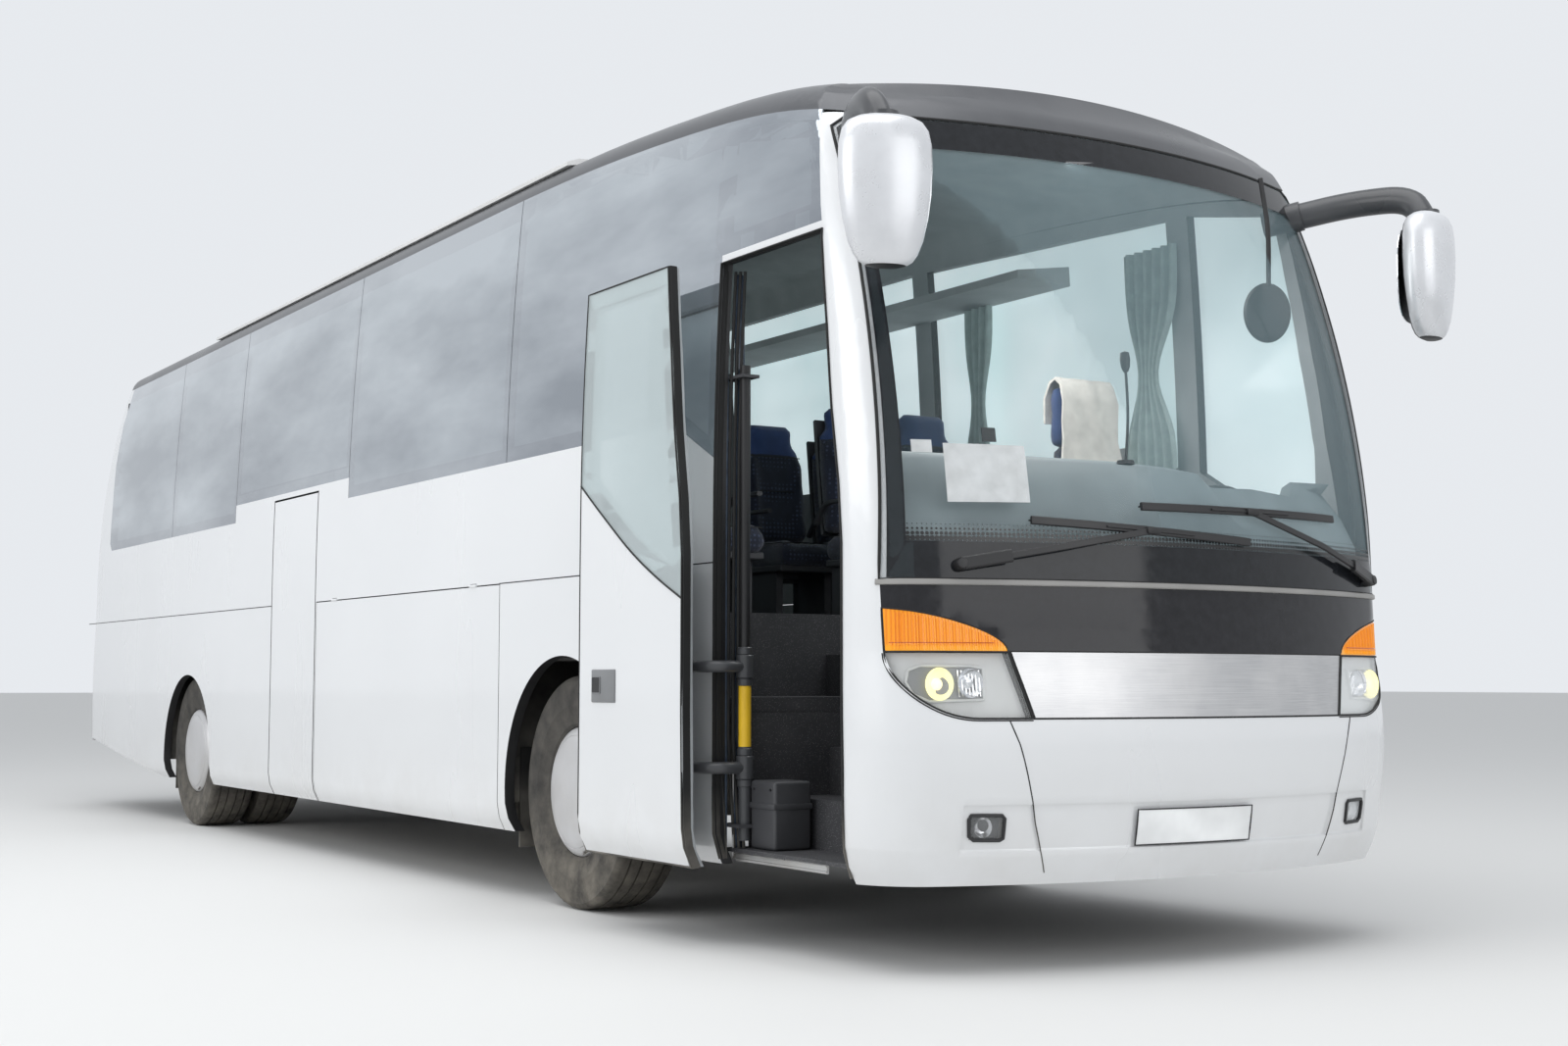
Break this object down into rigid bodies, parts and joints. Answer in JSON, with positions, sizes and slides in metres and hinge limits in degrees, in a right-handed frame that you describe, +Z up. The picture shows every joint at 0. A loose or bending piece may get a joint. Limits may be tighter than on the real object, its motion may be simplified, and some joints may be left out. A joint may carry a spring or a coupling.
{
  "type": "two-axle touring coach",
  "caption": "Full-size high-floor touring coach with swing-out doors, luggage hold flaps, a rear engine lid and steered front wheels.",
  "frame": {"origin": "on the ground under the middle of the vehicle", "axes": "+X forward, +Y to the vehicle's left, +Z up"},
  "size_m": [11.9998, 3.0164, 3.6005],
  "materials": {
    "body_paint": "gloss",
    "white_panel": "gloss",
    "brushed_trim": "brushed",
    "black_panel": "gloss",
    "lamp_clear": "clear",
    "lamp_amber": "clear",
    "lamp_red": "clear",
    "window_glass": "clear",
    "dark_glass": "tinted",
    "dark_steel": "satin",
    "cast_grey": "rough",
    "grey_plastic": "satin",
    "black_plastic": "matt",
    "floor_cover": "matt",
    "seat_fabric": "woven",
    "wheel_silver": "satin",
    "tyre": "matt",
    "rubber": "matt"
  },
  "bodies": {
    "coach": {"side_wall_left": "body_paint", "side_wall_right": "body_paint", "side_glass_left": "dark_glass", "side_glass_right": "dark_glass", "roof": "body_paint", "roof_fairings": "white_panel", "roof_unit": "white_panel", "bumper": "body_paint", "front_strip": "brushed_trim", "front_mask": "black_panel", "headlamps": "lamp_clear", "front_indicators": "lamp_amber", "fog_lamps": "lamp_clear", "windscreen": "window_glass", "windscreen_frame": "body_paint", "rear_wall": "body_paint", "rear_window": "window_glass", "rear_bumper": "body_paint", "tail_lamps": "lamp_red", "door_brackets": "dark_steel", "mirrors": "grey_plastic", "wipers": "black_plastic", "cabin_floor": "floor_cover", "cab_floor": "floor_cover", "front_steps": "floor_cover", "mid_steps": "floor_cover", "seats": "seat_fabric", "luggage_racks": "grey_plastic", "dashboard": "black_plastic", "steering_wheel": "black_plastic", "chassis_frame": "dark_steel", "wheel_housings": "black_plastic", "engine": "cast_grey", "air_springs": "rubber", "front_axle": "cast_grey", "rear_axle": "cast_grey", "mud_flaps": "rubber"},
    "steer_left": {"knuckle_left": "cast_grey"},
    "steer_right": {"knuckle_right": "cast_grey"},
    "front_wheel_left": {"wheel_front_left": "wheel_silver", "tyre_front_left": "tyre"},
    "front_wheel_right": {"wheel_front_right": "wheel_silver", "tyre_front_right": "tyre"},
    "rear_wheels_left": {"wheels_rear_left": "wheel_silver", "tyres_rear_left": "tyre"},
    "rear_wheels_right": {"wheels_rear_right": "wheel_silver", "tyres_rear_right": "tyre"},
    "front_door_gear": {"front_door_arms": "dark_steel"},
    "front_door_leaf": {"front_door": "body_paint", "front_door_glass": "dark_glass"},
    "mid_door_gear": {"mid_door_arms": "dark_steel"},
    "mid_door_leaf": {"mid_door": "body_paint"},
    "flap_left_rear": {"luggage_flap_left_1": "body_paint"},
    "flap_left_front": {"luggage_flap_left_2": "body_paint"},
    "flap_right": {"luggage_flap_right": "body_paint"},
    "engine_cover": {"engine_lid": "body_paint"}
  },
  "joints": [
    {"name": "steer_left", "type": "hinge", "parent": "coach", "child": "steer_left", "pos_m": [3.22, 0.95, 0.52], "axis": [0, 0, 1], "range_deg": [-40, 40]},
    {"name": "steer_right", "type": "hinge", "parent": "coach", "child": "steer_right", "pos_m": [3.22, -0.95, 0.52], "axis": [0, 0, 1], "range_deg": [-40, 40]},
    {"name": "front_left_spin", "type": "hinge", "parent": "steer_left", "child": "front_wheel_left", "pos_m": [3.22, 1.06, 0.52], "axis": [0, 1, 0], "continuous": true},
    {"name": "front_right_spin", "type": "hinge", "parent": "steer_right", "child": "front_wheel_right", "pos_m": [3.22, -1.06, 0.52], "axis": [0, 1, 0], "continuous": true},
    {"name": "rear_left_spin", "type": "hinge", "parent": "coach", "child": "rear_wheels_left", "pos_m": [-2.86, 0.9, 0.52], "axis": [0, 1, 0], "continuous": true},
    {"name": "rear_right_spin", "type": "hinge", "parent": "coach", "child": "rear_wheels_right", "pos_m": [-2.86, -0.9, 0.52], "axis": [0, 1, 0], "continuous": true},
    {"name": "front_door_swing", "type": "hinge", "parent": "coach", "child": "front_door_gear", "pos_m": [4.64, -1.165, 1], "axis": [0, 0, 1], "range_deg": [0, 150]},
    {"name": "front_door_turn", "type": "hinge", "parent": "front_door_gear", "child": "front_door_leaf", "pos_m": [4.24369, -1.36519, 1], "axis": [0, 0, 1], "range_deg": [-150, 0]},
    {"name": "mid_door_swing", "type": "hinge", "parent": "coach", "child": "mid_door_gear", "pos_m": [-0.935, -1.165, 1], "axis": [0, 0, 1], "range_deg": [-150, 0]},
    {"name": "mid_door_turn", "type": "hinge", "parent": "mid_door_gear", "child": "mid_door_leaf", "pos_m": [-0.49169, -1.18979, 1], "axis": [0, 0, 1], "range_deg": [0, 150]},
    {"name": "flap_left_rear_lift", "type": "hinge", "parent": "coach", "child": "flap_left_rear", "pos_m": [-1, 1.275, 1.475], "axis": [1, 0, 0], "range_deg": [0, 90]},
    {"name": "flap_left_front_lift", "type": "hinge", "parent": "coach", "child": "flap_left_front", "pos_m": [1.2, 1.275, 1.475], "axis": [1, 0, 0], "range_deg": [0, 90]},
    {"name": "flap_right_lift", "type": "hinge", "parent": "coach", "child": "flap_right", "pos_m": [1.2, -1.275, 1.475], "axis": [-1, 0, 0], "range_deg": [0, 90]},
    {"name": "engine_lid_lift", "type": "hinge", "parent": "coach", "child": "engine_cover", "pos_m": [-5.95, 0, 1.5], "axis": [0, 1, 0], "range_deg": [0, 85]}
  ],
  "couplings": [
    {"joint": "steer_right", "follows": "steer_left", "ratio": 1},
    {"joint": "front_door_turn", "follows": "front_door_swing", "ratio": -1},
    {"joint": "mid_door_turn", "follows": "mid_door_swing", "ratio": -1}
  ]
}
